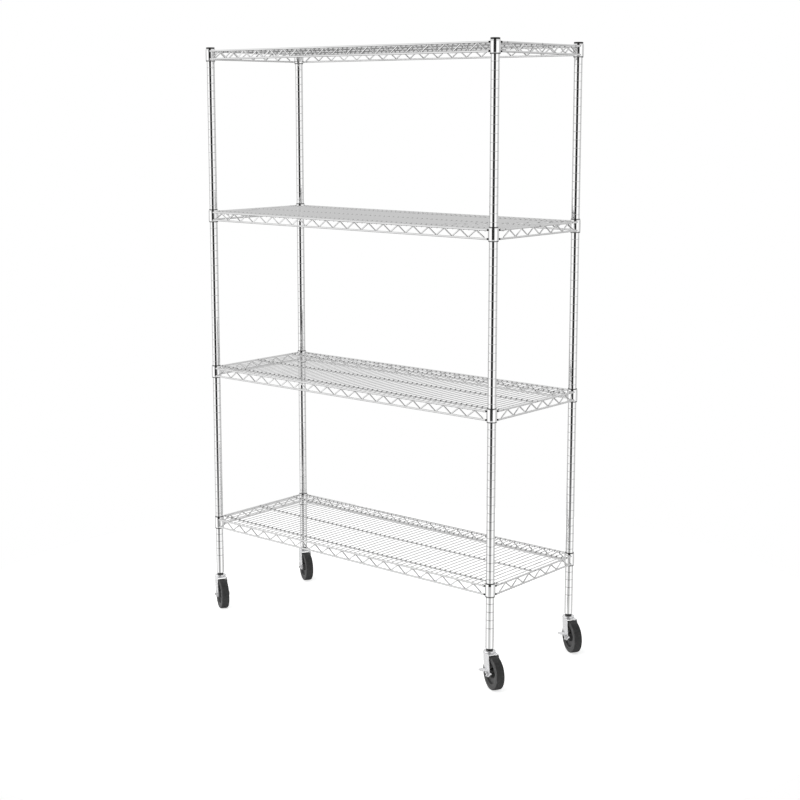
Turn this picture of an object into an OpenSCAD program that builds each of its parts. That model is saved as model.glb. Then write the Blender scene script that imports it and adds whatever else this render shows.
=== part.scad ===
// Wire shelving rack on four swivel casters.
// Four grooved tubular posts carry four wire shelves. Each shelf corner is a tapered collar that
// wedges onto a split sleeve, and the sleeve's inner ridge sits in one of the post's grooves.
// Millimetres. +Z is up, +X runs along the long side and +Y from the front to the rear.
// The origin is on the floor, midway between the four posts.

/* [Rack] */
// Distance between post axes along the long side
post_span_x = 1180; // [800:2:1500]
// Distance between post axes from front to rear
post_span_y = 422; // [300:2:600]
// Height of the lowest shelf's sleeve tops above the floor
first_sleeve_z = 322.5; // [310:0.5:400]
// Grooves from one shelf to the next
grooves_per_bay = 21; // [10:1:24]

/* [Posts] */
// Outer diameter of a post
post_d = 25.4; // [25:0.1:26]
// Inner diameter of a post's tube
post_bore_d = 23; // [22:0.1:23]
// Height of a post's lower end above the floor
post_foot_z = 119; // [116:0.5:125]
// Distance from one groove to the next
groove_pitch = 25.4; // [20:0.2:30]
// Depth of a groove
groove_depth = 0.6; // [0.3:0.1:0.8]
// Grooves below the lowest shelf's sleeve groove
grooves_below = 5; // [1:1:5]

/* [Shelf wires] */
// Diameter of the rods at the top and bottom of the edge trusses
rod_d = 5.8; // [5:0.2:7]
// Diameter of the zigzag wire
zigzag_d = 4.2; // [3:0.2:4.6]
// Diameter of the deck wires
deck_wire_d = 3; // [2:0.2:4]
// Diameter of the long rails under the deck wires
rail_d = 4.8; // [4:0.2:6]
// Deck wires to each zigzag period of a long truss
deck_wires_per_zigzag = 3; // [2:1:3]
// Distance from the front rail in from the post axes
rail_inset = 38; // [25:1:80]
// How far the short wire at each end of a deck stands inside the post axes
short_wire_inset = 3.6; // [3:0.1:6]
// How far the trusses stand outside the post axes
truss_offset = 13; // [12.4:0.1:13.4]
// Zigzag periods in a long truss
long_zigzags = 19; // [8:1:24]
// Zigzag periods in a short truss
short_zigzags = 6; // [3:1:7]

/* [Casters] */
// Diameter of the wheels
wheel_d = 101.6; // [90:0.2:102]
// Width of the tyres
tyre_w = 27; // [24:1:29]
// Distance from the swivel axis to the axle
trail = 32; // [29:0.5:36]
// Directions in which the casters trail, from +X: front left, rear left, front right, rear right
swivel_angles = [-30.5, -30.5, -28, -32]; // [-180:0.5:180]

/* [Hidden] */
node = "all";
CORNERS = ["front_left", "rear_left", "front_right", "rear_right"];
NODES = concat(
    [for (c = CORNERS) str("post_", c)],
    ["post_caps", "post_sockets", "caster_stems", "swivel_balls"],
    [for (n = [1:4], piece = ["deck", "front_truss", "rear_truss", "left_truss", "right_truss",
                              "collars", "split_sleeves"]) str("shelf_", n, "_", piece)],
    [for (c = CORNERS, piece = ["fork", "axle_bolt", "axle_bush", "wheel_core", "tyre"])
        str(c, "_", piece)],
    ["front_right_brake_lever", "rear_right_brake_lever"]
);

$fn = 64;
wire_fn = 40;
half_x = post_span_x / 2;
half_y = post_span_y / 2;
corner_at = [[-half_x, -half_y], [-half_x, half_y], [half_x, -half_y], [half_x, half_y]];

// Posts
post_r = post_d / 2;
post_bore_r = post_bore_d / 2;
bay_h = grooves_per_bay * groove_pitch;
sleeve_groove_drop = groove_pitch / 2;
post_top_z = first_sleeve_z + 3 * bay_h;
first_groove_z = first_sleeve_z - sleeve_groove_drop - grooves_below * groove_pitch;
groove_count = grooves_below + 3 * grooves_per_bay + 1;
groove_mouth_h = 2.4;
groove_floor_h = 1.2;
cap_t = 3;
cap_r = 14.3;
cap_bevel = 1;
cap_spigot_h = 14;

// Collars and split sleeves, with heights measured down from the sleeve's top
collar_top = 2.5;
collar_bottom = 42;
sleeve_h = 43.4;
collar_bore_top_r = 14;
collar_bore_bottom_r = 15;
collar_r = 16;
collar_rim_r = 15.2;
collar_shoulder = 4;
taper_bands = 6;
taper_crown = 0.03;
sleeve_play = 0.1;
sleeve_grip = 0.05;
sleeve_slit = 0.8;
ridge_h = 0.9;
ridge_play = 0.1;

// Shelf wires, with heights measured down from the sleeve's top
top_rod_drop = 9.5;
bottom_rod_drop = 35.6;
rail_drop = 12.4;
weld_sink = 0.3;
rod_end_gap = 11;
leg_spread = 1.5;
long_zigzag_start = 23.7;
long_zigzag_pitch = (post_span_x - 2 * long_zigzag_start) / long_zigzags;
short_zigzag_start = 31;

// Casters
wheel_r = wheel_d / 2;
tread_shoulder = 3;
rim_r = 38;
rim_w = 24;
rim_inner_r = 33;
web_w = 9;
hub_r = 13;
hub_w = 30;
axle_r = 4;
bush_r = 6;
running_fit = 0.05;
arm_gap = 32;
arm_t = 2.5;
arm_end_r = 10;
crown_top_z = 107;
crown_t = 2.8;
crown_back_l = 17;
crown_front_l = 27;
stem_r = 5.55;
stem_top_z = 160;
race_top_z = 112;
race_r = 18.5;
race_skirt_t = 2;
race_gap = 0.5;
ball_r = 1.5;
ball_ring_r = 13.5;
ball_count = 20;
ball_play = 0.04;
race_underside_z = crown_top_z + 2 * (ball_r + ball_play);
rivet_r = 9;
rivet_h = 2.7;
rivet_gap = 0.1;
socket_exposed_r = 10.5;
socket_top_z = 168;
head_h = 5.3;
nut_h = 6.5;
nut_flats = 13;
bolt_tail = 1.5;
thread_play = 0.05;
lever_t = 2;
lever_gap = 0.3;
lever_half_w = 29;
lever_top = 8;
lever_tip_r = 10;
pedal_l = 23;
arm_outer_y = arm_gap / 2 + arm_t;

// ---------- helpers ----------

// A round wire from one point to another
module wire(a, b, d) {
    v = b - a;
    length = norm(v);
    translate(a)
        rotate([0, acos(v.z / length), atan2(v.y, v.x)])
            cylinder(d = d, h = length, $fn = wire_fn);
}

module at_corners() {
    for (p = corner_at) translate([p.x, p.y, 0]) children();
}

// Height of a shelf's sleeve tops, for shelf 1 at the bottom to shelf 4 at the top
function sleeve_z(n) = first_sleeve_z + (n - 1) * bay_h;

// ---------- posts ----------

// The outside of the post, from the top down, with a groove at each pitch
function groove_points(k) =
    let (z = first_groove_z + k * groove_pitch)
    [[post_r, z + groove_mouth_h / 2], [post_r - groove_depth, z + groove_floor_h / 2],
     [post_r - groove_depth, z - groove_floor_h / 2], [post_r, z - groove_mouth_h / 2]];

module post(i) {
    outside = [for (k = [groove_count - 1:-1:0], p = groove_points(k)) p];
    color("gainsboro")
        translate([corner_at[i].x, corner_at[i].y, 0])
            rotate_extrude()
                polygon(concat(
                    [[post_bore_r, post_foot_z], [post_bore_r, post_top_z], [post_r, post_top_z]],
                    outside, [[post_r, post_foot_z]]));
}

module post_caps() {
    color("black")
        at_corners()
            translate([0, 0, post_top_z])
                rotate_extrude()
                    polygon([[0, -cap_spigot_h], [post_bore_r, -cap_spigot_h], [post_bore_r, 0],
                             [cap_r, 0], [cap_r, cap_t - cap_bevel], [cap_r - cap_bevel, cap_t],
                             [0, cap_t]]);
}

// The plastic bushing in the post's foot that grips the caster's stem
module post_sockets() {
    color("black")
        at_corners()
            rotate_extrude()
                polygon([[stem_r + running_fit, race_top_z], [socket_exposed_r, race_top_z],
                         [socket_exposed_r, post_foot_z], [post_bore_r, post_foot_z],
                         [post_bore_r, socket_top_z], [stem_r + running_fit, socket_top_z]]);
}

// ---------- shelves ----------

// The wedge surface between collar and sleeve from the top down, a taper with a slight crown
function taper_points(play) =
    [for (k = [0:taper_bands])
        let (t = k / taper_bands)
        [collar_bore_top_r + t * (collar_bore_bottom_r - collar_bore_top_r)
             + taper_crown * sin(180 * t) - play,
         -collar_top - t * (collar_bottom - collar_top)]];

module collars(n) {
    taper = taper_points(0);
    color("silver")
        at_corners()
            translate([0, 0, sleeve_z(n)])
                rotate_extrude()
                    polygon(concat(
                        [[collar_rim_r, -collar_bottom],
                         [collar_r, -collar_bottom + collar_shoulder],
                         [collar_r, -collar_top - collar_shoulder],
                         [collar_rim_r, -collar_top]],
                        taper));
}

module split_sleeves(n) {
    slope = (collar_bore_bottom_r - collar_bore_top_r) / (collar_bottom - collar_top);
    top_r = collar_bore_top_r - sleeve_play - slope * collar_top;
    bottom_r = top_r + slope * sleeve_h;
    taper = taper_points(sleeve_play);
    inner_taper = [for (k = [1:taper_bands - 1]) taper[k]];
    grip_r = post_r + sleeve_grip;
    ridge_r = post_r - groove_depth + ridge_play;
    color("black")
        at_corners()
            translate([0, 0, sleeve_z(n)])
                difference() {
                    rotate_extrude()
                        polygon(concat(
                            [[grip_r, 0], [top_r, 0]], inner_taper,
                            [[bottom_r, -sleeve_h], [grip_r, -sleeve_h],
                             [grip_r, -sleeve_groove_drop - ridge_h / 2],
                             [ridge_r, -sleeve_groove_drop - ridge_h / 2],
                             [ridge_r, -sleeve_groove_drop + ridge_h / 2],
                             [grip_r, -sleeve_groove_drop + ridge_h / 2]]));
                    translate([-collar_r, -sleeve_slit / 2, -sleeve_h - 1])
                        cube([2 * collar_r, sleeve_slit, sleeve_h + 2]);
                }
}

module deck(n) {
    rail_z = sleeve_z(n) - rail_drop;
    wire_z = rail_z + rail_d / 2 + deck_wire_d / 2 - weld_sink;
    rail_end = half_x + truss_offset - rod_d / 2 + weld_sink;
    wire_end = half_y + truss_offset - rod_d / 2 + weld_sink;
    short_wire_end = half_y - rail_inset + rail_d;
    wire_count = long_zigzags * deck_wires_per_zigzag + 1;
    color("lightgray") {
        for (y = [-half_y + rail_inset, 0, half_y - rail_inset])
            wire([-rail_end, y, rail_z], [rail_end, y, rail_z], rail_d);
        for (i = [0:wire_count - 1]) {
            x = -half_x + long_zigzag_start + i * long_zigzag_pitch / deck_wires_per_zigzag;
            wire([x, -wire_end, wire_z], [x, wire_end, wire_z], deck_wire_d);
        }
        for (x = [-half_x + short_wire_inset, half_x - short_wire_inset])
            wire([x, -short_wire_end, wire_z], [x, short_wire_end, wire_z], deck_wire_d);
    }
}

// Two rods with a zigzag wire between them, along +X from the origin at the sleeve tops' height.
// The zigzag starts and ends on the bottom rod.
module truss(span, start, pitch, periods) {
    levels = [-bottom_rod_drop, -top_rod_drop];
    for (z = levels)
        wire([rod_end_gap, 0, z], [span - rod_end_gap, 0, z], rod_d);
    for (i = [0:2 * periods - 1]) {
        rises = i % 2 == 0;
        from_z = rises ? levels[0] : levels[1];
        to_z = rises ? levels[1] : levels[0];
        wire([start + i * pitch / 2 + leg_spread, 0, from_z],
             [start + (i + 1) * pitch / 2 - leg_spread, 0, to_z], zigzag_d);
    }
}

module long_truss(n, side) {
    color("lightgray")
        translate([-half_x, side * (half_y + truss_offset), sleeve_z(n)])
            truss(post_span_x, long_zigzag_start, long_zigzag_pitch, long_zigzags);
}

module short_truss(n, side) {
    color("lightgray")
        translate([side * (half_x + truss_offset), -half_y, sleeve_z(n)])
            rotate([0, 0, 90])
                truss(post_span_y, short_zigzag_start,
                      (post_span_y - 2 * short_zigzag_start) / short_zigzags, short_zigzags);
}

// ---------- casters ----------

// Upper race and stem in one, with a rivet head that holds the fork on from below
module caster_stems() {
    skirt_z = crown_top_z + race_gap;
    rivet_z = crown_top_z - crown_t - rivet_gap;
    color("silver")
        at_corners()
            rotate_extrude()
                polygon([[0, rivet_z - rivet_h], [rivet_r, rivet_z - rivet_h], [rivet_r, rivet_z],
                         [stem_r, rivet_z], [stem_r, race_underside_z],
                         [race_r - race_skirt_t, race_underside_z],
                         [race_r - race_skirt_t, skirt_z], [race_r, skirt_z], [race_r, race_top_z],
                         [stem_r, race_top_z], [stem_r, stem_top_z], [0, stem_top_z]]);
}

module swivel_balls() {
    color("gray")
        at_corners()
            for (k = [0:ball_count - 1])
                rotate([0, 0, k * 360 / ball_count])
                    translate([ball_ring_r, 0, crown_top_z + ball_r + ball_play])
                        sphere(r = ball_r);
}

// Puts a caster piece at its post, with +X towards the axle and +Y along it
module at_caster(i) {
    translate([corner_at[i].x, corner_at[i].y, 0]) rotate([0, 0, swivel_angles[i]]) children();
}

// Puts a piece that is drawn along +Z onto the axle, with its +Z towards local +Y
module on_axle(i) {
    at_caster(i) translate([trail, 0, wheel_r]) rotate([-90, 0, 0]) children();
}

module arm_outline() {
    polygon([[-7, crown_top_z], [crown_front_l, crown_top_z], [crown_front_l + 6, crown_top_z - 10],
             [trail + 9, wheel_r + 4.5], [trail - 7, wheel_r - 7], [-3, crown_top_z - 39]]);
    translate([trail, wheel_r]) circle(r = arm_end_r);
}

module fork(i) {
    color("silver")
        at_caster(i)
            difference() {
                union() {
                    translate([-crown_back_l, -arm_outer_y, crown_top_z - crown_t])
                        cube([crown_back_l + crown_front_l, 2 * arm_outer_y, crown_t]);
                    for (y = [-arm_outer_y, arm_gap / 2])
                        translate([0, y + arm_t, 0])
                            rotate([90, 0, 0])
                                linear_extrude(arm_t) arm_outline();
                }
                translate([0, 0, crown_top_z - crown_t - 1])
                    cylinder(r = stem_r + running_fit, h = crown_t + 2);
                translate([trail, -arm_outer_y - 1, wheel_r])
                    rotate([-90, 0, 0])
                        cylinder(r = axle_r + running_fit, h = 2 * arm_outer_y + 2);
            }
}

module hexagon(flats, h) {
    cylinder(d = flats / cos(30), h = h, $fn = 6);
}

// A bolt with its head on one arm and its nut on the other, outside the brake lever if it has one
module axle_bolt(i, braked) {
    nut_start = arm_outer_y + (braked ? 2 * lever_gap + lever_t : 0);
    shank_end = nut_start + nut_h + bolt_tail;
    color("silver")
        on_axle(i) {
            translate([0, 0, arm_outer_y]) hexagon(nut_flats, head_h);
            translate([0, 0, -shank_end]) cylinder(r = axle_r, h = shank_end + arm_outer_y);
            difference() {
                translate([0, 0, -nut_start - nut_h]) hexagon(nut_flats, nut_h);
                translate([0, 0, -nut_start - nut_h - 1])
                    cylinder(r = axle_r + thread_play, h = nut_h + 2);
            }
        }
}

// The tube that the fork's arms clamp and that the wheel turns on
module axle_bush(i) {
    color("gray")
        on_axle(i)
            translate([0, 0, -arm_gap / 2])
                difference() {
                    cylinder(r = bush_r, h = arm_gap);
                    translate([0, 0, -1]) cylinder(r = axle_r + running_fit, h = arm_gap + 2);
                }
}

module wheel_core(i) {
    bore = bush_r + running_fit;
    color("dimgray")
        on_axle(i)
            rotate_extrude()
                polygon([[bore, -hub_w / 2], [hub_r, -hub_w / 2], [hub_r + 1, -web_w / 2],
                         [rim_inner_r - 1, -web_w / 2], [rim_inner_r, -rim_w / 2],
                         [rim_r, -rim_w / 2], [rim_r, rim_w / 2], [rim_inner_r, rim_w / 2],
                         [rim_inner_r - 1, web_w / 2], [hub_r + 1, web_w / 2],
                         [hub_r, hub_w / 2], [bore, hub_w / 2]]);
}

module tyre(i) {
    half_w = tyre_w / 2;
    color("black")
        on_axle(i)
            rotate_extrude()
                polygon([[rim_r, -half_w + 1], [rim_r + 2, -half_w],
                         [wheel_r - tread_shoulder, -half_w],
                         [wheel_r - 1, -half_w + tread_shoulder / 2],
                         [wheel_r, -half_w + tread_shoulder],
                         [wheel_r, half_w - tread_shoulder],
                         [wheel_r - 1, half_w - tread_shoulder / 2],
                         [wheel_r - tread_shoulder, half_w],
                         [rim_r + 2, half_w], [rim_r, half_w - 1]]);
}

// A plate on the axle, broad at its top edge, with a pedal bent outwards from the rear half of it
module brake_lever(i) {
    plate_y = arm_outer_y + lever_gap;
    color("silver")
        on_axle(i)
            translate([0, 0, -plate_y])
                difference() {
                    union() {
                        translate([0, 0, -lever_t])
                            linear_extrude(lever_t) {
                                circle(r = lever_tip_r);
                                polygon([[-lever_half_w, -lever_top], [lever_half_w, -lever_top],
                                         [9, 4.2], [-9, 4.2]]);
                            }
                        translate([-lever_half_w, -lever_top - lever_t, -pedal_l])
                            cube([lever_half_w, lever_t, pedal_l]);
                    }
                    translate([0, 0, -lever_t - 1])
                        cylinder(r = axle_r + running_fit, h = lever_t + 2);
                }
}

// ---------- nodes ----------

function shown(name) = node == "all" || node == name;

for (i = [0:3]) if (shown(str("post_", CORNERS[i]))) post(i);
if (shown("post_caps")) post_caps();
if (shown("post_sockets")) post_sockets();
if (shown("caster_stems")) caster_stems();
if (shown("swivel_balls")) swivel_balls();

for (n = [1:4]) if (shown(str("shelf_", n, "_deck"))) deck(n);
for (n = [1:4]) if (shown(str("shelf_", n, "_front_truss"))) long_truss(n, -1);
for (n = [1:4]) if (shown(str("shelf_", n, "_rear_truss"))) long_truss(n, 1);
for (n = [1:4]) if (shown(str("shelf_", n, "_left_truss"))) short_truss(n, -1);
for (n = [1:4]) if (shown(str("shelf_", n, "_right_truss"))) short_truss(n, 1);
for (n = [1:4]) if (shown(str("shelf_", n, "_collars"))) collars(n);
for (n = [1:4]) if (shown(str("shelf_", n, "_split_sleeves"))) split_sleeves(n);

for (i = [0:3]) if (shown(str(CORNERS[i], "_fork"))) fork(i);
for (i = [0:3]) if (shown(str(CORNERS[i], "_axle_bolt"))) axle_bolt(i, i >= 2);
for (i = [0:3]) if (shown(str(CORNERS[i], "_axle_bush"))) axle_bush(i);
for (i = [0:3]) if (shown(str(CORNERS[i], "_wheel_core"))) wheel_core(i);
for (i = [0:3]) if (shown(str(CORNERS[i], "_tyre"))) tyre(i);
if (shown("front_right_brake_lever")) brake_lever(2);
if (shown("rear_right_brake_lever")) brake_lever(3);
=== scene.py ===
"""A wire shelving rack on four swivel casters, in metres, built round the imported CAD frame."""
import math

import bmesh
import bpy
from mathutils import Matrix, Vector


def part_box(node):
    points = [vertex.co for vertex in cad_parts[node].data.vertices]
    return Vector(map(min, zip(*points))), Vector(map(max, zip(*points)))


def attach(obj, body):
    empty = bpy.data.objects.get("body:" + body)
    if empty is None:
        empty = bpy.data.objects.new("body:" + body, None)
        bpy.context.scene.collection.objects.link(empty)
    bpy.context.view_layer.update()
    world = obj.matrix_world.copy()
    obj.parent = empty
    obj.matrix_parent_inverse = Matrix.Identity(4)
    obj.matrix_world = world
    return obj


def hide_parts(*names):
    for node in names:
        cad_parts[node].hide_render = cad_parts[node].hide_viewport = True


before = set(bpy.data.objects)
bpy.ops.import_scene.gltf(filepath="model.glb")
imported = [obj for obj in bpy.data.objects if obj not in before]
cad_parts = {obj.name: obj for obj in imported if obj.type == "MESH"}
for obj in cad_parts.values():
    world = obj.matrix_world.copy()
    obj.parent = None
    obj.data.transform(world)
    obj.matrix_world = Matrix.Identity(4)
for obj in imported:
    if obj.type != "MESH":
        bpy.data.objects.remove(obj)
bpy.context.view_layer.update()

MM = 0.001
CORNERS = ("front_left", "rear_left", "front_right", "rear_right")
BRAKED = ("front_right", "rear_right")
SHELVES = (1, 2, 3, 4)
UP = Vector((0, 0, 1))

# ---------- places, from the frame ----------


def middle(node):
    """The centre of a CAD node's box."""
    lo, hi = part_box(node)
    return (Vector(lo) + Vector(hi)) / 2


def top_of(node):
    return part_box(node)[1][2]


def bottom_of(node):
    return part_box(node)[0][2]


POST = {c: Vector((middle(f"post_{c}").x, middle(f"post_{c}").y, 0)) for c in CORNERS}
HALF_X = POST["front_right"].x
HALF_Y = POST["rear_right"].y
FOOT_Z = bottom_of("post_front_left")
POST_TOP_Z = top_of("post_front_left")
SLEEVE_Z = {n: top_of(f"shelf_{n}_split_sleeves") for n in SHELVES}
TO_AXLE = {c: (middle(f"{c}_wheel_core") - POST[c]).xy for c in CORNERS}
TRAIL = TO_AXLE["front_left"].length
AXLE_Z = middle("front_left_wheel_core").z
WHEEL_R = AXLE_Z
RACE_TOP_Z = bottom_of("post_sockets")
CROWN_TOP_Z = top_of("front_left_fork")

# ---------- sizes of the pieces: the CAD model's, with slightly shallower grooves ----------

POST_R = 12.7 * MM
POST_BORE_R = 11.5 * MM
GROOVE_PITCH = 25.4 * MM
GROOVE_DEPTH = 0.32 * MM
GROOVE_HALF = 1.1 * MM
GROOVES_BELOW = 5  # grooves under the lowest shelf's own one
ROD_R = 2.9 * MM
ZIGZAG_R = 2.1 * MM
DECK_WIRE_R = 1.5 * MM
RAIL_R = 2.4 * MM
RAIL_INSET = 38 * MM
TRUSS_OFFSET = 13 * MM
TOP_ROD_DROP = 9.5 * MM
BOTTOM_ROD_DROP = 35.6 * MM
RAIL_DROP = 12.4 * MM
WIRE_PAST_ROD = 1.2 * MM  # how far a deck wire's turned end hangs below the top rod
WIRE_TURN_R = 2.6 * MM
WELD_SINK = 0.3 * MM  # how deep a crossing wire sinks into the one it is welded to
ZIGZAG_SINK = 1.1 * MM
ZIGZAG_BEND_R = 4.2 * MM
BEND_OVERSHOOT = 1.9 * MM  # a bend is rounded inside its corner, so the corner lies further out
ROD_END_GAP = 11 * MM  # from a post's axis to the end of a rod beside it
DARKENED_END_LENGTH = 1.8 * MM  # the stretch at a rod's sheared end that is painted near black: painted shade and painted reflection
SHORT_WIRE_INSET = 3.6 * MM
SHORT_WIRE_END = HALF_Y - RAIL_INSET + 2 * RAIL_R
WELD_HALF = 2.1 * MM  # half the length of a weld's darkened mark: weld burn and painted shade
LONG_START = 23.7 * MM
LONG_PERIODS = 19
SHORT_START = 31 * MM
SHORT_PERIODS = 6
WIRES_PER_PERIOD = 3
ARM_INSIDE = 16 * MM
ARM_T = 2.5 * MM
BRAKE_T = 2 * MM
BRAKE_GAP = 0.3 * MM  # clearance on each side of the brake lever's plate
DOME = 0.56  # how far a wire's domed end reaches, in wire radii
CAP_R = 14.3 * MM
CAP_T = top_of("post_caps") - POST_TOP_Z

# ---------- material helpers ----------


def new_material(name):
    mat = bpy.data.materials.new(name)
    mat.use_nodes = True
    nodes = mat.node_tree.nodes
    nodes.clear()
    out = nodes.new("ShaderNodeOutputMaterial")
    bsdf = nodes.new("ShaderNodeBsdfPrincipled")
    mat.node_tree.links.new(bsdf.outputs["BSDF"], out.inputs["Surface"])
    return mat, bsdf


def noise(mat, scale, detail, stretch=(1, 1, 1)):
    """A 3D noise in object space; stretch scales the axes."""
    nodes, links = mat.node_tree.nodes, mat.node_tree.links
    coord = nodes.new("ShaderNodeTexCoord")
    mapping = nodes.new("ShaderNodeMapping")
    mapping.inputs["Scale"].default_value = stretch
    tex = nodes.new("ShaderNodeTexNoise")
    tex.inputs["Scale"].default_value = scale
    tex.inputs["Detail"].default_value = detail
    links.new(coord.outputs["Object"], mapping.inputs["Vector"])
    links.new(mapping.outputs["Vector"], tex.inputs["Vector"])
    return tex.outputs["Fac"]


def ramp(mat, value, stops):
    """Maps a value to colours; stops are (position, grey or colour)."""
    node = mat.node_tree.nodes.new("ShaderNodeValToRGB")
    elements = node.color_ramp.elements
    while len(elements) < len(stops):
        elements.new(0.5)
    for element, (place, colour) in zip(elements, stops):
        element.position = place
        rgb = colour if isinstance(colour, tuple) else (colour,) * 3
        element.color = (*rgb, 1)
    mat.node_tree.links.new(value, node.inputs["Fac"])
    return node.outputs["Color"]


def bump(mat, bsdf, height, strength, distance):
    node = mat.node_tree.nodes.new("ShaderNodeBump")
    node.inputs["Strength"].default_value = strength
    node.inputs["Distance"].default_value = distance
    mat.node_tree.links.new(height, node.inputs["Height"])
    mat.node_tree.links.new(node.outputs["Normal"], bsdf.inputs["Normal"])


def chrome(name, tint, rough_low, rough_high, scale):
    """Bright plate: its polish varies a little and it has the faint waviness of drawn steel."""
    mat, bsdf = new_material(name)
    bsdf.inputs["Metallic"].default_value = 1.0
    cloud = noise(mat, scale, 4.0)
    links = mat.node_tree.links
    links.new(ramp(mat, cloud, [(0.3, tint * 0.97), (0.7, tint)]), bsdf.inputs["Base Color"])
    links.new(ramp(mat, cloud, [(0.35, rough_low), (0.75, rough_high)]),
              bsdf.inputs["Roughness"])
    bump(mat, bsdf, noise(mat, scale * 6, 2.0), 0.04, 0.0002)
    return mat


def zinc(name, low, high):
    """Zinc plate on stamped steel: pale, a little milky, with a fine grain."""
    mat, bsdf = new_material(name)
    bsdf.inputs["Metallic"].default_value = 0.75
    links = mat.node_tree.links
    patches = noise(mat, 60, 4.0)
    links.new(ramp(mat, patches, [(0.3, low), (0.7, high)]), bsdf.inputs["Base Color"])
    grain = noise(mat, 700, 2.0, (1, 1, 0.15))
    links.new(ramp(mat, grain, [(0.3, 0.16), (0.7, 0.24)]), bsdf.inputs["Roughness"])
    bump(mat, bsdf, grain, 0.03, 0.0002)
    return mat


def darkened_end(name):
    """A sheared end with shear marks, painted near black; on a rod this is painted shade and
    painted reflection.
    """
    mat, bsdf = new_material(name)
    bsdf.inputs["Specular IOR Level"].default_value = 0.15
    links = mat.node_tree.links
    marks = noise(mat, 1800, 3.0, (1, 1, 0.2))
    links.new(ramp(mat, marks, [(0.3, 0.004), (0.7, 0.012)]), bsdf.inputs["Base Color"])
    links.new(ramp(mat, marks, [(0.3, 0.5), (0.7, 0.7)]), bsdf.inputs["Roughness"])
    bump(mat, bsdf, marks, 0.2, 0.0002)
    return mat


def plastic(name, low, high, rough, pebble):
    """Moulded plastic with a fine spark-eroded texture."""
    mat, bsdf = new_material(name)
    links = mat.node_tree.links
    cloud = noise(mat, 60, 3.0)
    links.new(ramp(mat, cloud, [(0.3, low), (0.7, high)]), bsdf.inputs["Base Color"])
    links.new(ramp(mat, cloud, [(0.3, rough - 0.06), (0.7, rough + 0.06)]),
              bsdf.inputs["Roughness"])
    bump(mat, bsdf, noise(mat, 2600, 2.0), pebble, 0.0002)
    return mat


def rubber(name, worn):
    """Solid black rubber with a little dust; worn sets how grey it is."""
    mat, bsdf = new_material(name)
    links = mat.node_tree.links
    dust = noise(mat, 160, 5.0)
    links.new(ramp(mat, dust, [(0.3, worn * 0.55), (0.55, worn), (0.75, worn * 2)]),
              bsdf.inputs["Base Color"])
    links.new(ramp(mat, dust, [(0.3, 0.42), (0.8, 0.62)]), bsdf.inputs["Roughness"])
    bump(mat, bsdf, noise(mat, 1500, 3.0), 0.25, 0.0003)
    return mat


CHROME_TUBE = chrome("chrome_tube", 0.9, 0.03, 0.07, 30)
# the grooves' chrome is tinted darker than the tube's: painted shade in the recesses
GROOVE_SHADE_CHROME = chrome("chrome_groove_painted_shade", 0.7, 0.08, 0.14, 30)
CHROME_WIRE = chrome("chrome_wire", 0.86, 0.04, 0.08, 60)
CHROME_COLLAR = chrome("chrome_collar", 0.93, 0.06, 0.12, 50)
# the collar's lower lip and bore: chrome tinted dark as painted shade
COLLAR_SHADE_CHROME = chrome("collar_lip_painted_shade", 0.3, 0.14, 0.22, 120)
ZINC = zinc("zinc_steel", (0.9, 0.9, 0.91), (0.97, 0.97, 0.98))
BEARING = zinc("bearing_steel", (0.5, 0.5, 0.51), (0.62, 0.62, 0.63))
# weld marks: darkened chrome, partly weld burn and partly painted shade at the joints
WELD_BURN_AND_SHADE = chrome("weld_burn_and_painted_shade", 0.34, 0.14, 0.24, 300)
# sheared ends painted near black: on the rods, painted shade and painted reflection
DARKENED_END_MATERIAL = darkened_end("darkened_end")
BLACK_PLASTIC = plastic("black_plastic", 0.006, 0.014, 0.4, 0.12)
WHEEL_PLASTIC = plastic("wheel_plastic", 0.05, 0.075, 0.45, 0.2)
TREAD = rubber("black_rubber", 0.026)
SIDEWALL = rubber("black_rubber_side", 0.052)

# ---------- mesh helpers ----------

ON_AXIS = 1e-9  # a smaller radius than this is a point on the lathe's axis
SAME_POINT = 1e-7  # vertices closer than this become one


def round_angles(count):
    return [2 * math.pi * k / count for k in range(count)]


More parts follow.
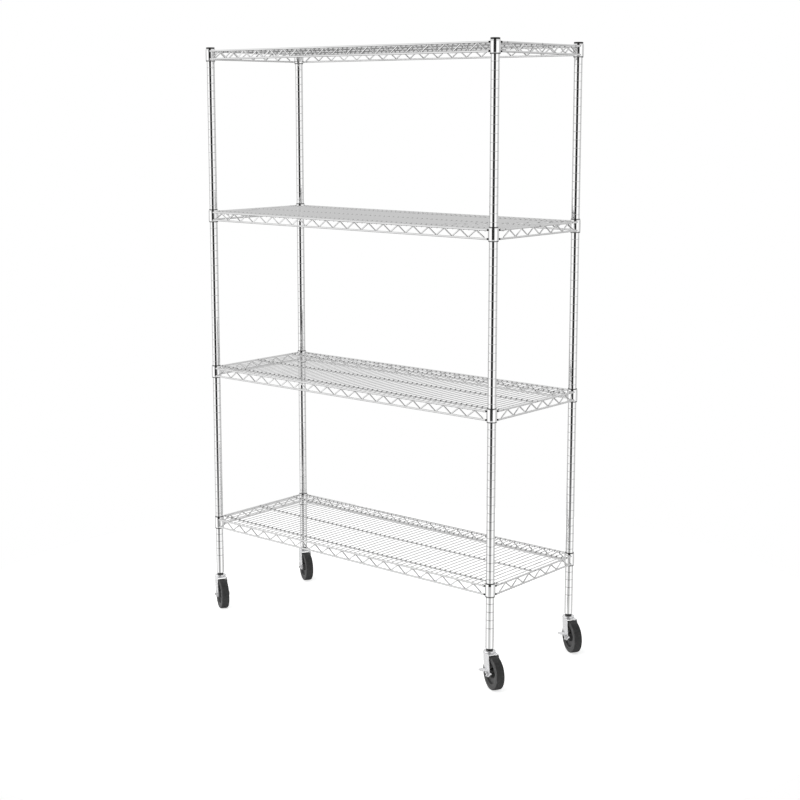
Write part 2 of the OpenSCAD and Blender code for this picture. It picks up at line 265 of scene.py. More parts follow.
class Builder:
    """Collects vertices and faces. Each face has a material index."""

    def __init__(self):
        self.verts = []
        self.faces = []
        self.mats = []

    def face(self, face, mat=0):
        self.faces.append(face)
        self.mats.append(mat)

    def ring(self, points):
        start = len(self.verts)
        self.verts.extend(points)
        return list(range(start, len(self.verts)))

    def bridge(self, a, b, mat=0):
        """Quads between two rings of the same length."""
        n = len(a)
        for i in range(n):
            j = (i + 1) % n
            self.face((a[i], a[j], b[j], b[i]), mat)

    def fan(self, ring, centre, mat=0):
        tip = self.ring([centre])[0]
        for i in range(len(ring)):
            self.face((ring[i], ring[(i + 1) % len(ring)], tip), mat)

    def tube(self, path, radius, sides, mats, cut_ends=False):
        """A round wire along a path, with domed ends or with bevelled, sheared ones.

        mats gives each stretch's material, and a sheared end's face has material 1.
        """
        count = len(path)
        tangents = []
        for i in range(count):
            before, after = path[max(i - 1, 0)], path[min(i + 1, count - 1)]
            tangents.append((after - before).normalized())
        normal = tangents[0].orthogonal().normalized()
        stations = []
        for i in range(count):
            t = tangents[i]
            normal = (normal - t * normal.dot(t)).normalized()
            stations.append((path[i], normal.copy(), t.cross(normal), t))

        def circle(centre, n, b, r):
            return self.ring([centre + n * (math.cos(a) * r) + b * (math.sin(a) * r)
                              for a in round_angles(sides)])

        rings = [circle(c, n, b, radius) for c, n, b, _ in stations]
        for a, b, mat in zip(rings, rings[1:], mats):
            self.bridge(a, b, mat)
        for station, ring, sign in ((stations[0], rings[0], -1), (stations[-1], rings[-1], 1)):
            c, n, b, t = station
            if cut_ends:
                face = c + t * (sign * radius * 0.12)
                edge = circle(face, n, b, radius * 0.88)
                self.bridge(ring, edge, 1)
                self.fan(edge, face, 1)
            else:
                edge = circle(c + t * (sign * radius * 0.35), n, b, radius * 0.8)
                self.bridge(ring, edge)
                inner = circle(c + t * (sign * radius * 0.5), n, b, radius * 0.45)
                self.bridge(edge, inner)
                self.fan(inner, c + t * (sign * radius * DOME))

    def lathe(self, profile, place, segments, mats=None):
        """Turns a closed outline of (radius, height) points; place maps local to world.

        mats gives the material of each of the outline's edges. A point on the axis is one vertex.
        """
        profile, mats = with_holding_points(profile, mats)
        rings = []
        for r, z in profile:
            if r < ON_AXIS:
                rings.append(self.ring([place @ Vector((0, 0, z))]))
                continue
            rings.append(self.ring([place @ Vector((r * math.cos(a), r * math.sin(a), z))
                                    for a in round_angles(segments)]))
        for a, b, mat in zip(rings, rings[1:] + rings[:1], mats):
            if len(a) == 1 and len(b) == 1:
                continue
            if len(a) == 1 or len(b) == 1:
                ring, tip = (b, a[0]) if len(a) == 1 else (a, b[0])
                for k in range(segments):
                    self.face((ring[k], ring[(k + 1) % segments], tip), mat)
                continue
            self.bridge(a, b, mat)

    def ribbon(self, sections):
        """A closed strip of sheet: each section is a closed ring of points, capped at both ends."""
        rings = [self.ring(s) for s in sections]
        for a, b in zip(rings, rings[1:]):
            self.bridge(a, b)
        self.face(tuple(rings[0]))
        self.face(tuple(rings[-1]))

    def piece(self, name, body, materials, replaced, sharp=35):
        """Makes the object that rides a body in place of the CAD nodes it replaces.

        Edges that turn by more than sharp degrees are drawn as edges.
        """
        mesh = bpy.data.meshes.new(name)
        mesh.from_pydata([tuple(v) for v in self.verts], [], self.faces)
        for mat in materials:
            mesh.materials.append(mat)
        mesh.polygons.foreach_set("material_index", self.mats)
        cleaned = bmesh.new()
        cleaned.from_mesh(mesh)
        bmesh.ops.remove_doubles(cleaned, verts=cleaned.verts, dist=SAME_POINT)
        bmesh.ops.recalc_face_normals(cleaned, faces=cleaned.faces)
        cleaned.to_mesh(mesh)
        cleaned.free()
        mesh.polygons.foreach_set("use_smooth", [True] * len(mesh.polygons))
        mesh.set_sharp_from_angle(angle=math.radians(sharp))
        obj = bpy.data.objects.new(name, mesh)
        bpy.context.scene.collection.objects.link(obj)
        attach(obj, body)
        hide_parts(*replaced)


def with_holding_points(outline, mats):
    """Adds points near the ends of a closed outline's long edges, so shading stays crisp there.

    The edges' materials come back beside the points, or all 0 if none are given.
    """
    near = 0.3 * MM
    points, kinds = [], []
    for i, (r, z) in enumerate(outline):
        r2, z2 = outline[(i + 1) % len(outline)]
        length = math.hypot(r2 - r, z2 - z)
        fractions = (0.0,) if length < 4 * near else (0.0, near / length, 1 - near / length)
        for t in fractions:
            points.append((r + (r2 - r) * t, z + (z2 - z) * t))
            kinds.append(mats[i] if mats else 0)
    return points, kinds


def fillet(corners, radius, steps):
    """A polyline with each inner corner rounded to an arc."""
    path = [corners[0]]
    for before, corner, after in zip(corners, corners[1:], corners[2:]):
        u = (before - corner).normalized()
        v = (after - corner).normalized()
        half = u.angle(v) / 2
        reach = min(radius / math.tan(half), (before - corner).length * 0.45,
                    (after - corner).length * 0.45)
        r = reach * math.tan(half)
        centre = corner + (u + v).normalized() * (r / math.sin(half))
        a, b = corner + u * reach - centre, corner + v * reach - centre
        turn = a.angle(b)
        for k in range(steps + 1):
            t = k / steps
            w0 = math.sin((1 - t) * turn) / math.sin(turn)
            w1 = math.sin(t * turn) / math.sin(turn)
            path.append(centre + a * w0 + b * w1)
    path.append(corners[-1])
    return path


def at_post(corner, z=0.0):
    return Matrix.Translation(POST[corner] + UP * z)


def caster_frame(corner):
    """Local to world for a caster: origin under the post, +X towards the axle, +Y along it."""
    turn = math.atan2(TO_AXLE[corner].y, TO_AXLE[corner].x)
    return Matrix.Translation(POST[corner]) @ Matrix.Rotation(turn, 4, "Z")


def axle_frame(corner):
    """Local to world for an axle: origin at its middle, +Z along it towards the caster's +Y."""
    return (caster_frame(corner) @ Matrix.Translation((TRAIL, 0, AXLE_Z))
            @ Matrix.Rotation(math.radians(-90), 4, "X"))


# ---------- posts ----------


def groove_profile(z):
    """The rounded dip of one rolled groove, from its lower lip to its upper one."""
    steps = 6
    points = []
    for k in range(steps + 1):
        t = -1 + 2 * k / steps
        depth = GROOVE_DEPTH * (0.5 + 0.5 * math.cos(math.pi * t))
        points.append((POST_R - depth, z + t * GROOVE_HALF))
    return points


def build_posts():
    first = SLEEVE_Z[1] - GROOVE_PITCH * (0.5 + GROOVES_BELOW)
    count = int((POST_TOP_Z - first) / GROOVE_PITCH) + 1
    lip = 0.4 * MM
    outline = [(POST_BORE_R, FOOT_Z), (POST_R - lip, FOOT_Z), (POST_R, FOOT_Z + lip)]
    mats = [0, 0, 0]
    for k in range(count):
        dip = groove_profile(first + k * GROOVE_PITCH)
        outline += dip
        # the groove dips take the darker chrome, painted shade in the recesses
        mats += [1] * (len(dip) - 1) + [0]
    outline += [(POST_R, POST_TOP_Z - lip), (POST_R - lip, POST_TOP_Z), (POST_BORE_R, POST_TOP_Z)]
    mats += [0, 0, 0]
    for c in CORNERS:
        b = Builder()
        b.lathe(outline, at_post(c), 56, mats)
        b.piece(f"tube_{c}", "rack", [CHROME_TUBE, GROOVE_SHADE_CHROME],
                [f"post_{c}"], sharp=50)


def build_caps():
    spigot = 14 * MM
    r, t = CAP_R, CAP_T
    outline = [(0, -spigot), (POST_BORE_R - 0.8 * MM, -spigot), (POST_BORE_R, -spigot + 0.8 * MM),
               (POST_BORE_R, 0), (r - 0.3 * MM, 0), (r, 0.3 * MM), (r, t * 0.55),
               (r - 0.3 * MM, t * 0.78), (r - 1.1 * MM, t * 0.93), (r - 2.6 * MM, t), (0, t)]
    b = Builder()
    for c in CORNERS:
        b.lathe(outline, at_post(c, POST_TOP_Z), 56)
    b.piece("caps", "rack", [BLACK_PLASTIC], ["post_caps"])


def build_sockets():
    lo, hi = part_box("post_sockets")
    bore, shown_r, lip = 5.6 * MM, 10.5 * MM, 0.6 * MM
    outline = [(bore, lo[2]), (shown_r - lip, lo[2]), (shown_r, lo[2] + lip),
               (shown_r, FOOT_Z), (POST_BORE_R, FOOT_Z), (POST_BORE_R, hi[2] - lip),
               (POST_BORE_R - lip, hi[2]), (bore, hi[2])]
    b = Builder()
    for c in CORNERS:
        b.lathe(outline, at_post(c), 48)
    b.piece("sockets", "rack", [BLACK_PLASTIC], ["post_sockets"])


# ---------- shelves ----------


def build_collars(n):
    """Tapered collars with rolled lips, one at each corner; the lower lip and the bore are tinted
    dark as painted shade.
    """
    top, bottom = 2.5 * MM, 42 * MM
    r_mid, r_rim = 16 * MM, 15.2 * MM
    bore_top, bore_bottom = 14 * MM, 15 * MM
    edge, roll, steps = 0.3 * MM, 6 * MM, 6
    swell = [(bore_top, -top), (bore_top + 0.5 * MM, -top), (r_rim - 0.2 * MM, -top),
             (r_rim, -top - edge)]
    for k in range(1, steps + 1):
        t = k / steps
        ease = math.sin(t * math.pi / 2)
        swell.append((r_rim + (r_mid - r_rim) * ease, -top - edge - roll * t))
    swell.append((r_mid, -bottom + edge + roll))
    for k in range(1, steps + 1):
        t = k / steps
        ease = math.cos(t * math.pi / 2)
        swell.append((r_rim + (r_mid - r_rim) * ease, -bottom + edge + roll * (1 - t)))
    swell += [(bore_bottom + 0.1 * MM, -bottom), (bore_bottom, -bottom)]
    # the last edges, the lower lip's underside and the bore, are painted dark as painted shade
    shaded_edges = 5
    mats = [0] * (len(swell) - shaded_edges) + [1] * shaded_edges
    b = Builder()
    for c in CORNERS:
        b.lathe(swell, at_post(c, SLEEVE_Z[n]), 56, mats)
    b.piece(f"shelf_{n}_corner_collars", "rack", [CHROME_COLLAR, COLLAR_SHADE_CHROME],
            [f"shelf_{n}_collars"])


def build_deck(n):
    """Three rails with the cross wires welded over them; a long wire's ends turn down.

    Every weld has a darkened mark on the rail and on the wire, weld burn and painted shade, and a
    long wire's turned ends are painted dark as painted shade.
    """
    rail_z = SLEEVE_Z[n] - RAIL_DROP
    rails = (-HALF_Y + RAIL_INSET, 0.0, HALF_Y - RAIL_INSET)
    wire_z = rail_z + RAIL_R + DECK_WIRE_R - WELD_SINK
    rail_end = HALF_X + TRUSS_OFFSET - ROD_R + WELD_SINK - DOME * RAIL_R
    pitch = (2 * HALF_X - 2 * LONG_START) / (LONG_PERIODS * WIRES_PER_PERIOD)
    count = LONG_PERIODS * WIRES_PER_PERIOD + 1
    leg_y = HALF_Y + TRUSS_OFFSET - ROD_R - DECK_WIRE_R + WELD_SINK
    tip_z = SLEEVE_Z[n] - TOP_ROD_DROP - ROD_R - WIRE_PAST_ROD
    short_x = HALF_X - SHORT_WIRE_INSET
    long_xs = [-HALF_X + LONG_START + i * pitch for i in range(count)]
    b = Builder()
    welds = [x + d for x in [-short_x, *long_xs, short_x] for d in (-WELD_HALF, WELD_HALF)]
    for y in rails:
        path = [Vector((x, y, rail_z)) for x in [-rail_end, *welds, rail_end]]
        # each rail is darkened round every crossing wire: weld burn and painted shade
        b.tube(path, RAIL_R, 12, mats=[0, 1] * (count + 2) + [0])
    for x in long_xs:
        corners = [Vector((x, -leg_y, tip_z)), Vector((x, -leg_y, wire_z)),
                   Vector((x, leg_y, wire_z)), Vector((x, leg_y, tip_z))]
        bent = fillet(corners, WIRE_TURN_R, 5)
        half = len(bent) // 2
        welds = [Vector((x, y + d, wire_z)) for y in rails for d in (-WELD_HALF, WELD_HALF)]
        # a long wire's turned-down leg and bend are painted dark with the weld material: painted
        # shade and painted reflection
        ends = [1] * (half - 1)
        b.tube(bent[:half] + welds + bent[half:], DECK_WIRE_R, 10,
               mats=ends + [0, 1] * len(rails) + [0] + ends)
    tip_y = SHORT_WIRE_END - DOME * DECK_WIRE_R
    for x in (-short_x, short_x):
        welds = [y + d for y in rails for d in (-WELD_HALF, WELD_HALF)]
        path = [Vector((x, y, wire_z)) for y in [-tip_y, *welds, tip_y]]
        b.tube(path, DECK_WIRE_R, 10, mats=[0, 1] * len(rails) + [0])
    b.piece(f"shelf_{n}_deck_wires", "rack", [CHROME_WIRE, WELD_BURN_AND_SHADE],
            [f"shelf_{n}_deck"])


def build_truss(name, node, origin, along, span, start, pitch, periods, rails=()):
    """Two rods and the zigzag between them, along a horizontal direction.

    The top rod has a darkened mark at every rail that ends on it, and the zigzag at its bends: weld
    burn and painted shade.
    """

    def point(distance, drop):
        return origin + along * distance - UP * drop

    reach = ROD_R + ZIGZAG_R - ZIGZAG_SINK
    high, low = TOP_ROD_DROP + reach, BOTTOM_ROD_DROP - reach
    b = Builder()
    for drop, welds in ((TOP_ROD_DROP, rails), (BOTTOM_ROD_DROP, ())):
        stops = [ROD_END_GAP, ROD_END_GAP + DARKENED_END_LENGTH]
        stops += [weld + d for weld in welds for d in (-WELD_HALF, WELD_HALF)]
        stops += [span - ROD_END_GAP - DARKENED_END_LENGTH, span - ROD_END_GAP]
        # each rod's end face and last stretch are painted near black: painted shade and painted
        # reflection
        b.tube([point(d, drop) for d in stops], ROD_R, 16, cut_ends=True,
               mats=[1] + [0, 2] * len(welds) + [0, 1])
    corners = []
    for i in range(2 * periods + 1):
        up = i % 2 == 1
        over = BEND_OVERSHOOT if 0 < i < 2 * periods else 0.0
        corners.append(point(start + i * pitch / 2, high - over if up else low + over))
    # the zigzag's bends on the rods take the darkened weld material: weld burn and painted shade
    bend_and_leg = [0, 2, 2, 2, 2, 0, 0]
    b.tube(fillet(corners, ZIGZAG_BEND_R, 6), ZIGZAG_R, 10,
           mats=[0] + bend_and_leg * (2 * periods - 1))
    b.piece(name, "rack", [CHROME_WIRE, DARKENED_END_MATERIAL, WELD_BURN_AND_SHADE], [node])


def build_trusses(n):
    long_pitch = (2 * HALF_X - 2 * LONG_START) / LONG_PERIODS
    short_pitch = (2 * HALF_Y - 2 * SHORT_START) / SHORT_PERIODS
    rails = (RAIL_INSET, HALF_Y, 2 * HALF_Y - RAIL_INSET)
    for side, sign in (("front", -1), ("rear", 1)):
        build_truss(f"shelf_{n}_{side}_wires", f"shelf_{n}_{side}_truss",
                    Vector((-HALF_X, sign * (HALF_Y + TRUSS_OFFSET), SLEEVE_Z[n])),
                    Vector((1, 0, 0)), 2 * HALF_X, LONG_START, long_pitch, LONG_PERIODS)
    for side, sign in (("left", -1), ("right", 1)):
        build_truss(f"shelf_{n}_{side}_wires", f"shelf_{n}_{side}_truss",
                    Vector((sign * (HALF_X + TRUSS_OFFSET), -HALF_Y, SLEEVE_Z[n])),
                    Vector((0, 1, 0)), 2 * HALF_Y, SHORT_START, short_pitch, SHORT_PERIODS,
                    rails)


# ---------- casters ----------


def rounded(outline, radius):
    """A closed outline of (r, z) points with its corners rounded."""
    points = [Vector((r, z, 0)) for r, z in outline]
    path = []
    for i, corner in enumerate(points):
        arc = fillet([points[i - 1], corner, points[(i + 1) % len(points)]], radius, 3)[1:-1]
        path += [(p.x, p.y) for p in arc]
    return path


def build_stems():
    """The upper race's cup, the stem inside the post and the rivet head under the fork."""
    low, top = bottom_of("caster_stems"), top_of("caster_stems")
    stem_r, rivet_r = 5.55 * MM, 9 * MM
    rivet_z = CROWN_TOP_Z - 2.9 * MM
    race_r, race_inner_r = 18.5 * MM, 16.5 * MM
    skirt, under = CROWN_TOP_Z + 0.5 * MM, CROWN_TOP_Z + 3.08 * MM
    outline = [(0, low), (rivet_r - 2 * MM, low), (rivet_r - 0.4 * MM, low + 0.5 * MM),
               (rivet_r, low + 1.4 * MM), (rivet_r, rivet_z), (stem_r, rivet_z), (stem_r, under),
               (race_inner_r - 0.3 * MM, under), (race_inner_r, under - 0.3 * MM),
               (race_inner_r, skirt), (race_r - 0.3 * MM, skirt),
               (race_r, skirt + 0.3 * MM), (race_r, RACE_TOP_Z - 1.9 * MM),
               (race_r - 0.4 * MM, RACE_TOP_Z - 0.9 * MM),
               (race_r - 1.3 * MM, RACE_TOP_Z - 0.25 * MM),
               (race_r - 2.6 * MM, RACE_TOP_Z), (stem_r, RACE_TOP_Z), (stem_r, top - 1 * MM),
               (stem_r - 1 * MM, top), (0, top)]
    b = Builder()
    for c in CORNERS:
        b.lathe(outline, at_post(c), 48)
    b.piece("stems", "rack", [ZINC], ["caster_stems"])


def sheet_section(place, centre, outward, half_t, low, high, corner, rib):
    """A cross-section of sheet metal, across local X, with a pressed rib in its middle.

    At its two edges the sheet is thinner by corner on each side, which breaks the sharp corners.
    """
    steps, rib_from, rib_width = 8, 0.18, 0.64
    points = []
    for side in (1, -1):
        span = range(steps + 1) if side > 0 else range(steps, -1, -1)
        for k in span:
            u = k / steps
            x = low + (high - low) * u
            across = min(max((u - rib_from) / rib_width, 0), 1)
            swell = rib * (0.5 - 0.5 * math.cos(2 * math.pi * across))
            pinch = corner if k in (0, steps) else 0.0
            offset = outward * (side * (half_t - pinch) + swell)
            points.append(place @ (Vector((x, 0, 0)) + centre + offset))
    return points


def edge_at(z, points):
    """The x of a side edge at a height, from (x, z) points that go upwards."""
    for (x0, z0), (x1, z1) in zip(points, points[1:]):
        if z <= z1:
            t = max(0.0, (z - z0) / (z1 - z0))
            return x0 + (x1 - x0) * t
    return points[-1][0]


def build_fork(corner):
    """Stamped sheet bent to a U: crown, two rounded shoulders and two broad arms.

    An arm's front edge runs down to a round end about the axle, and its rear edge is cut slanting.
    """
    place = caster_frame(corner)
    half_t = ARM_T / 2
    y_arm = ARM_INSIDE + half_t
    bend, end_r, least = 4 * MM, 10 * MM, 1.6 * MM
    z_top = CROWN_TOP_Z - half_t - bend
    rear = [(TRAIL - 7 * MM, AXLE_Z - 7 * MM), (-3 * MM, CROWN_TOP_Z - 39 * MM),
            (-7 * MM, CROWN_TOP_Z)]
    front = [(TRAIL + 10 * MM, AXLE_Z), (TRAIL + 9 * MM, AXLE_Z + 4.5 * MM),
             (33 * MM, CROWN_TOP_Z - 10 * MM), (27 * MM, CROWN_TOP_Z)]
    path = []  # one half, upwards: y, z, the rear and the front edge's x, tilt, rib
    below, rise, shoulder = 10, 14, 6
    for k in range(below + 1):
        a = math.pi / 2 * k / below
        z = AXLE_Z - end_r * math.cos(a)
        half = max(end_r * math.sin(a), least)
        low = TRAIL - half
        if z > rear[0][1]:
            low = min(low, edge_at(z, rear))
        path.append((y_arm, z, low, TRAIL + half, 0.0, 0.0))
    for k in range(1, rise + 1):
        t = k / rise
        z = AXLE_Z + (z_top - AXLE_Z) * t
        rib = 0.9 * MM * math.sin(math.pi * min(1, 0.08 + t))
        path.append((y_arm, z, edge_at(z, rear), edge_at(z, front), 0.0, rib))
    for k in range(1, shoulder + 1):
        a = math.pi / 2 * k / shoulder
        y = y_arm - bend * (1 - math.cos(a))
        z = z_top + bend * math.sin(a)
        back = rear[-1][0] - 10 * MM * math.sin(a) ** 2
        path.append((y, z, back, edge_at(z, front), a, 0.0))
    sections = []
    for side, half_path in ((1, path), (-1, reversed(path))):
        for y, z, low, high, a, rib in half_path:
            outward = Vector((0, side * math.cos(a), math.sin(a)))
            sections.append(sheet_section(place, Vector((0, side * y, z)), outward, half_t,
                                          low, high, 0.45 * MM, rib))
    b = Builder()
    b.ribbon(sections)
    body = f"{corner}_swivel_fork"
    b.piece(f"{corner}_fork_shell", body, [ZINC], [f"{corner}_fork"], sharp=40)


def hexagon(b, place, flats, z0, z1):
    """A hexagon bar with its corners chamfered at both ends, as nuts and bolt heads have."""
    chamfer = 0.495 * MM

    def ring(is_end, z):
        points = []
        for a in round_angles(24):
            from_flat = (a % (math.pi / 3)) - math.pi / 6
            r = flats / 2 / math.cos(from_flat)
            if is_end:
                r = min(r, flats / 2 * 0.97)
            points.append(place @ Vector((r * math.cos(a), r * math.sin(a), z)))
        return b.ring(points)

    rings = [ring(True, z0), ring(False, z0 + chamfer), ring(False, z1 - chamfer),
             ring(True, z1)]
    for lower, upper in zip(rings, rings[1:]):
        b.bridge(lower, upper)
    b.fan(rings[0], place @ Vector((0, 0, z0)))
    b.fan(rings[-1], place @ Vector((0, 0, z1)))


def build_axle(corner):
    """The axle bolt: its head, its shank, the nut and the shank's cut end past the nut."""
    place = axle_frame(corner)
    outer = ARM_INSIDE + ARM_T
    nut_start = -(outer + (BRAKE_T + 2 * BRAKE_GAP if corner in BRAKED else 0))
    shank_end = nut_start - 8 * MM
    flats, r, chamfer = 13 * MM, 4 * MM, 0.7 * MM
    b = Builder()
    hexagon(b, place, flats, outer, outer + 5.3 * MM)
    outline = [(0, shank_end), (r - chamfer, shank_end), (r, shank_end + chamfer),
               (r, outer), (0, outer)]
    # the shank's end and its chamfer past the nut are painted near black
    b.lathe(outline, place, 32, [1, 1, 0, 0, 0])
    hexagon(b, place, flats, nut_start - 6.5 * MM, nut_start)
    b.piece(f"{corner}_axle_set", f"{corner}_swivel_fork", [ZINC, DARKENED_END_MATERIAL],
            [f"{corner}_axle_bolt"])


def build_wheel(corner):
    """A moulded core with a dished web, and a solid tyre with fine rings round its tread."""
    place = axle_frame(corner)
    body = f"{corner}_wheel"
    bore, hub, hub_w = 6.05 * MM, 13 * MM, 15 * MM
    rim_in, rim_out, rim_w, web, draft = 33 * MM, 38 * MM, 12 * MM, 4.5 * MM, 1.5 * MM
    outline = [(bore, -hub_w), (hub, -hub_w), (hub + draft, -web), (rim_in - draft, -web),
               (rim_in, -rim_w), (rim_out, -rim_w), (rim_out, rim_w), (rim_in, rim_w),
               (rim_in - draft, web), (hub + draft, web), (hub, hub_w), (bore, hub_w)]
    core = Builder()
    core.lathe(rounded(outline, 1.0 * MM), place, 72)
    core.piece(f"{corner}_hub_and_rim", body, [WHEEL_PLASTIC],
               [f"{corner}_wheel_core"])
    half, r = 13.5 * MM, WHEEL_R
    side = [(rim_out, -half + 1 * MM), (rim_out + 2 * MM, -half), (r - 6 * MM, -half),
            (r - 4.4 * MM, -half), (r - 2.9 * MM, -half + 0.3 * MM),
            (r - 1.6 * MM, -half + 0.9 * MM), (r - 0.6 * MM, -half + 1.9 * MM),
            (r - 0.1 * MM, -half + 3 * MM)]
    tread = []
    for y in (-8 * MM, -4 * MM, 0.0, 4 * MM, 8 * MM):
        tread += [(r, y - 0.9 * MM), (r - 0.1 * MM, y - 0.45 * MM), (r - 0.45 * MM, y),
                  (r - 0.1 * MM, y + 0.45 * MM), (r, y + 0.9 * MM)]
    outline = side + tread + [(p, -q) for p, q in reversed(side)]
    dusty = 5
    mats = [1] * dusty + [0] * (len(outline) - 2 * dusty - 1) + [1] * (dusty + 1)
    tyre = Builder()
    tyre.lathe(outline, place, 96, mats)
    tyre.piece(f"{corner}_rubber_tyre", body, [TREAD, SIDEWALL],
               [f"{corner}_tyre"], sharp=60)


def build_brake(corner):
    """A stamped plate on the axle, and the pedal bent outwards from its top edge's rear half."""
    place = caster_frame(corner) @ Matrix.Translation((TRAIL, 0, AXLE_Z))
    y_plate = -(ARM_INSIDE + ARM_T + BRAKE_GAP + BRAKE_T / 2)
    tip, half_w, top = 10 * MM, 29 * MM, 9 * MM
    round_end, pedal_t = math.radians(65), BRAKE_T * 0.97
    sections = []

    def add(y, z, low, high, a, thick):
        outward = Vector((0, -math.cos(a), math.sin(a)))
        sections.append(sheet_section(place, Vector((0, y, z)), outward, thick / 2, low, high,
                                      0.4 * MM, 0.0))

    steps = 8
    for k in range(steps + 1):
        a = round_end * k / steps
        half = max(tip * math.sin(a), 1.8 * MM)
        add(y_plate, -tip * math.cos(a), -half, half, 0.0, BRAKE_T)
    edge_x, edge_z = tip * math.sin(round_end), -tip * math.cos(round_end)
    steps = 6
    for k in range(1, steps + 1):
        s = k / steps
        half = edge_x + (half_w - edge_x) * s
        if k == steps:
            half -= 1.2 * MM
        add(y_plate, edge_z + (top - edge_z) * s, -half, half, 0.0, BRAKE_T)
    b = Builder()
    b.ribbon(sections)
    sections.clear()
    bend, pedal_reach = 3 * MM, 23 * MM
    low, high = -half_w + 0.3 * MM, -0.6 * MM
    add(y_plate, 2 * MM, low + 8 * MM, high, 0.0, pedal_t)
    add(y_plate, top - bend, low, high, 0.0, pedal_t)
    steps = 5
    for k in range(1, steps + 1):
        a = math.pi / 2 * k / steps
        add(y_plate - bend * (1 - math.cos(a)), top - bend + bend * math.sin(a), low, high, a,
            pedal_t)
    length = (y_plate - bend) + (ARM_INSIDE + ARM_T + BRAKE_GAP + pedal_reach)
    steps, straight = 8, 0.6
    for k in range(1, steps + 1):
        s = k / steps
        pinch = 7 * MM * max(0, (s - straight) / (1 - straight)) ** 2
        add(y_plate - bend - length * s, top, low + pinch, high - pinch, math.pi / 2, pedal_t)
    b.ribbon(sections)
    b.piece(f"{corner}_brake_pedal", f"{corner}_brake", [ZINC],
            [f"{corner}_brake_lever"], sharp=40)


def dress_cad_nodes():
    """Gives the CAD nodes that stay the same materials as the pieces round them."""
    kept = {"swivel_balls": BEARING}
    kept.update({f"shelf_{n}_split_sleeves": BLACK_PLASTIC for n in SHELVES})
    kept.update({f"{c}_axle_bush": BEARING for c in CORNERS})
    for node, mat in kept.items():
        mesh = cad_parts[node].data
        mesh.materials.clear()
        mesh.materials.append(mat)


# ---------- studio ----------

# headings in degrees from +X towards +Y
FRONT_OPENING = -61
NEAR_SIDE = -50
FAR_SIDE = 75
LEFT_OPENING = 127
# how bright the tent's parts look in a reflection
SIDE_WALL, FRONT_WALL = 0.64, 1.15
BELT_FAR, BELT_NEAR, BELT_ASIDE = 0.78, 0.8, 0.68
ROOF = 0.1
UNDER_FAR, UNDER_NEAR = 0.42, 1.0
OPENING_FOOT, OPENING_TOP, OPENING_FLOOR = 0.7, 0.03, 0.4
LEFT_DARK = 0.05
FLOOR_R = 1.6
FLOOR_SIDES = 96


def link_value(tree, value, socket):
    if hasattr(value, "links"):
        tree.links.new(value, socket)
    else:
        socket.default_value = value


def maths(tree, operation, a, b):
    node = tree.nodes.new("ShaderNodeMath")
    node.operation = operation
    link_value(tree, a, node.inputs[0])
    link_value(tree, b, node.inputs[1])
    return node.outputs[0]


def smooth_range(tree, value, start, end):
    """0 at start and 1 at end, smoothly."""
    node = tree.nodes.new("ShaderNodeMapRange")
    node.interpolation_type = "SMOOTHSTEP"
    node.inputs["From Min"].default_value = start
    node.inputs["From Max"].default_value = end
    tree.links.new(value, node.inputs["Value"])
    return node.outputs["Result"]


def mix_value(tree, factor, a, b):
    """a where factor is 0 and b where it is 1."""
    gap = maths(tree, "MULTIPLY", factor, maths(tree, "SUBTRACT", b, a))
    return maths(tree, "ADD", a, gap)


def compass(tree, direction, heading):
    """The cosine between a direction's horizontal part and a heading: 1 at it, -1 away."""
    flat = tree.nodes.new("ShaderNodeVectorMath")
    flat.operation = "MULTIPLY"
    tree.links.new(direction, flat.inputs[0])
    flat.inputs[1].default_value = (1, 1, 0)
    unit = tree.nodes.new("ShaderNodeVectorMath")
    unit.operation = "NORMALIZE"
    tree.links.new(flat.outputs[0], unit.inputs[0])
    dot = tree.nodes.new("ShaderNodeVectorMath")
    dot.operation = "DOT_PRODUCT"
    tree.links.new(unit.outputs[0], dot.inputs[0])
    angle = math.radians(heading)
    dot.inputs[1].default_value = (math.cos(angle), math.sin(angle), 0)
    return dot.outputs["Value"]


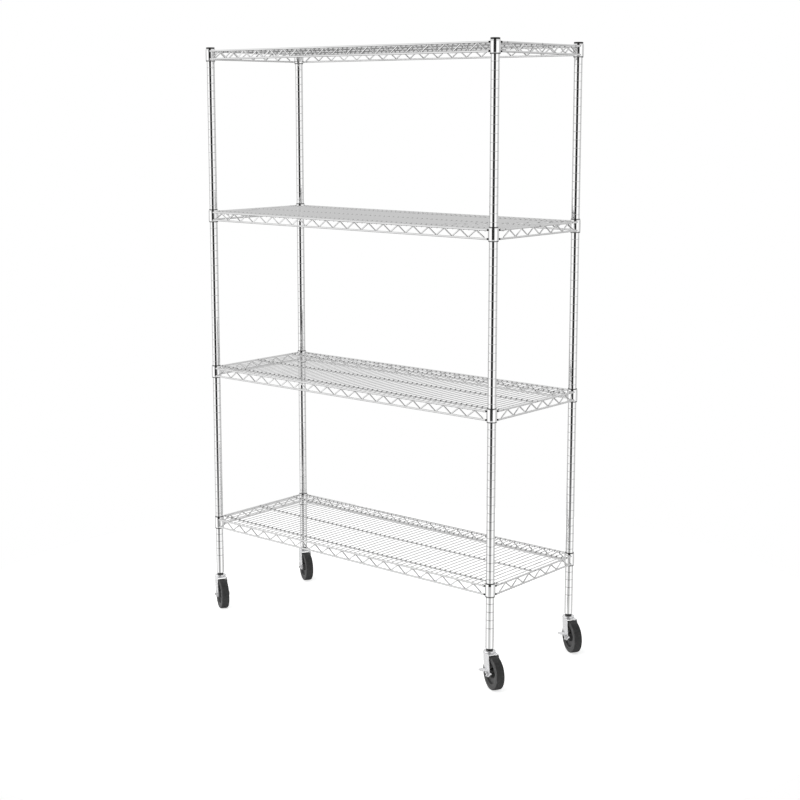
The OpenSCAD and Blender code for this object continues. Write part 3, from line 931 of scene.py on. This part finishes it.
def studio_world():
    """A pale tent with a dark roof and two dark openings; a camera ray sees plain white instead.

    The front opening, the bright wall round it and the grey side walls give the posts their
    streak. A belt above the walls is grey at the far side. Past 27 degrees down the far half is
    darker, which shades the undersides of the wires. Heights are sines of the angle upwards.
    """
    world = bpy.data.worlds.new("studio")
    bpy.context.scene.world = world
    world.use_nodes = True
    tree = world.node_tree
    tree.nodes.clear()
    coord = tree.nodes.new("ShaderNodeTexCoord")
    direction = coord.outputs["Generated"]
    split = tree.nodes.new("ShaderNodeSeparateXYZ")
    tree.links.new(direction, split.inputs[0])
    height = split.outputs["Z"]
    facing = compass(tree, direction, FRONT_OPENING)
    near = compass(tree, direction, NEAR_SIDE)
    walls = mix_value(tree, smooth_range(tree, facing, -0.1, 0.25), SIDE_WALL, FRONT_WALL)
    belt = mix_value(tree, smooth_range(tree, near, -0.5, -0.15), BELT_FAR, BELT_NEAR)
    aside = smooth_range(tree, compass(tree, direction, FAR_SIDE), 0.75, 0.9)
    belt = mix_value(tree, aside, belt, BELT_ASIDE)
    tent = mix_value(tree, smooth_range(tree, height, 0.1, 0.22), walls, belt)
    tent = mix_value(tree, smooth_range(tree, height, 0.82, 0.92), tent, ROOF)
    low = smooth_range(tree, height, -0.46, -0.56)
    under = mix_value(tree, smooth_range(tree, near, 0.0, 0.4), UNDER_FAR, UNDER_NEAR)
    tent = mix_value(tree, low, tent, under)
    front = mix_value(tree, smooth_range(tree, height, -0.36, -0.195), OPENING_FOOT, OPENING_TOP)
    front = mix_value(tree, low, front, OPENING_FLOOR)
    tent = mix_value(tree, smooth_range(tree, facing, 0.84, 0.89), tent, front)
    left = smooth_range(tree, compass(tree, direction, LEFT_OPENING), 0.9, 0.94)
    left = maths(tree, "MULTIPLY", left, smooth_range(tree, height, 0.1, 0.02))
    tent = mix_value(tree, left, tent, LEFT_DARK)
    path = tree.nodes.new("ShaderNodeLightPath")
    seen = mix_value(tree, path.outputs["Is Camera Ray"], tent, 1.0)
    back = tree.nodes.new("ShaderNodeBackground")
    back.inputs["Color"].default_value = (1, 1, 1, 1)
    tree.links.new(seen, back.inputs["Strength"])
    out = tree.nodes.new("ShaderNodeOutputWorld")
    tree.links.new(back.outputs[0], out.inputs["Surface"])


def studio_floor():
    """A pale round floor under the rack, lit past white so that only deep shadow shows."""
    b = Builder()
    outer = b.ring([Vector((FLOOR_R * math.cos(a), FLOOR_R * math.sin(a), 0))
                    for a in round_angles(FLOOR_SIDES)])
    b.fan(outer, Vector((0, 0, 0)))
    mesh = bpy.data.meshes.new("floor")
    mesh.from_pydata([tuple(v) for v in b.verts], [], b.faces)
    floor = bpy.data.objects.new("floor", mesh)
    bpy.context.scene.collection.objects.link(floor)
    floor.visible_glossy = False
    mat, bsdf = new_material("floor_paper")
    bsdf.inputs["Base Color"].default_value = (0.8, 0.8, 0.8, 1)
    bsdf.inputs["Roughness"].default_value = 0.9
    bsdf.inputs["Specular IOR Level"].default_value = 0.0
    tree = mat.node_tree
    path = tree.nodes.new("ShaderNodeLightPath")
    glow = mix_value(tree, path.outputs["Is Camera Ray"], 0.05, 0.6)
    bsdf.inputs["Emission Color"].default_value = (1, 1, 1, 1)
    tree.links.new(glow, bsdf.inputs["Emission Strength"])
    mesh.materials.append(mat)


def studio_camera():
    """A long lens at head height, to the rack's front right, looking a little down."""
    cam = bpy.data.cameras.new("camera")
    obj = bpy.data.objects.new("camera", cam)
    bpy.context.scene.collection.objects.link(obj)
    cam.lens = 69.126
    cam.sensor_width = 36
    cam.shift_y = -0.06
    cam.clip_start, cam.clip_end = 0.1, 60
    yaw, pitch = math.radians(40.264), math.radians(9.104)
    obj.location = (3.2514, -3.7713, 1.7339)
    obj.rotation_euler = (math.pi / 2 - pitch, 0, yaw)
    bpy.context.scene.camera = obj


def studio_lights():
    """A large soft light overhead and a low one at the left; mirrors don't show them."""
    for name, size, energy, place, aim in (
            ("overhead", (2.4, 1.6), 35, (0.4, -0.8, 3.6), (0.3, -0.1, 0.0)),
            ("low_fill", (1.6, 1.0), 60, (-0.9, -2.6, 0.9), (0.3, -0.1, 0.05))):
        light = bpy.data.lights.new(name, "AREA")
        light.shape = "RECTANGLE"
        light.size, light.size_y = size
        light.energy = energy
        obj = bpy.data.objects.new(name, light)
        obj.location = place
        obj.rotation_euler = (Vector(aim) - Vector(place)).to_track_quat("-Z", "Y").to_euler()
        obj.visible_glossy = False
        bpy.context.scene.collection.objects.link(obj)


def main():
    bpy.context.scene.view_settings.view_transform = "Standard"
    studio_camera()
    studio_world()
    studio_lights()
    studio_floor()
    build_posts()
    build_caps()
    build_sockets()
    build_stems()
    for n in SHELVES:
        build_collars(n)
        build_deck(n)
        build_trusses(n)
    for c in CORNERS:
        build_fork(c)
        build_axle(c)
        build_wheel(c)
    for c in BRAKED:
        build_brake(c)
    dress_cad_nodes()


main()
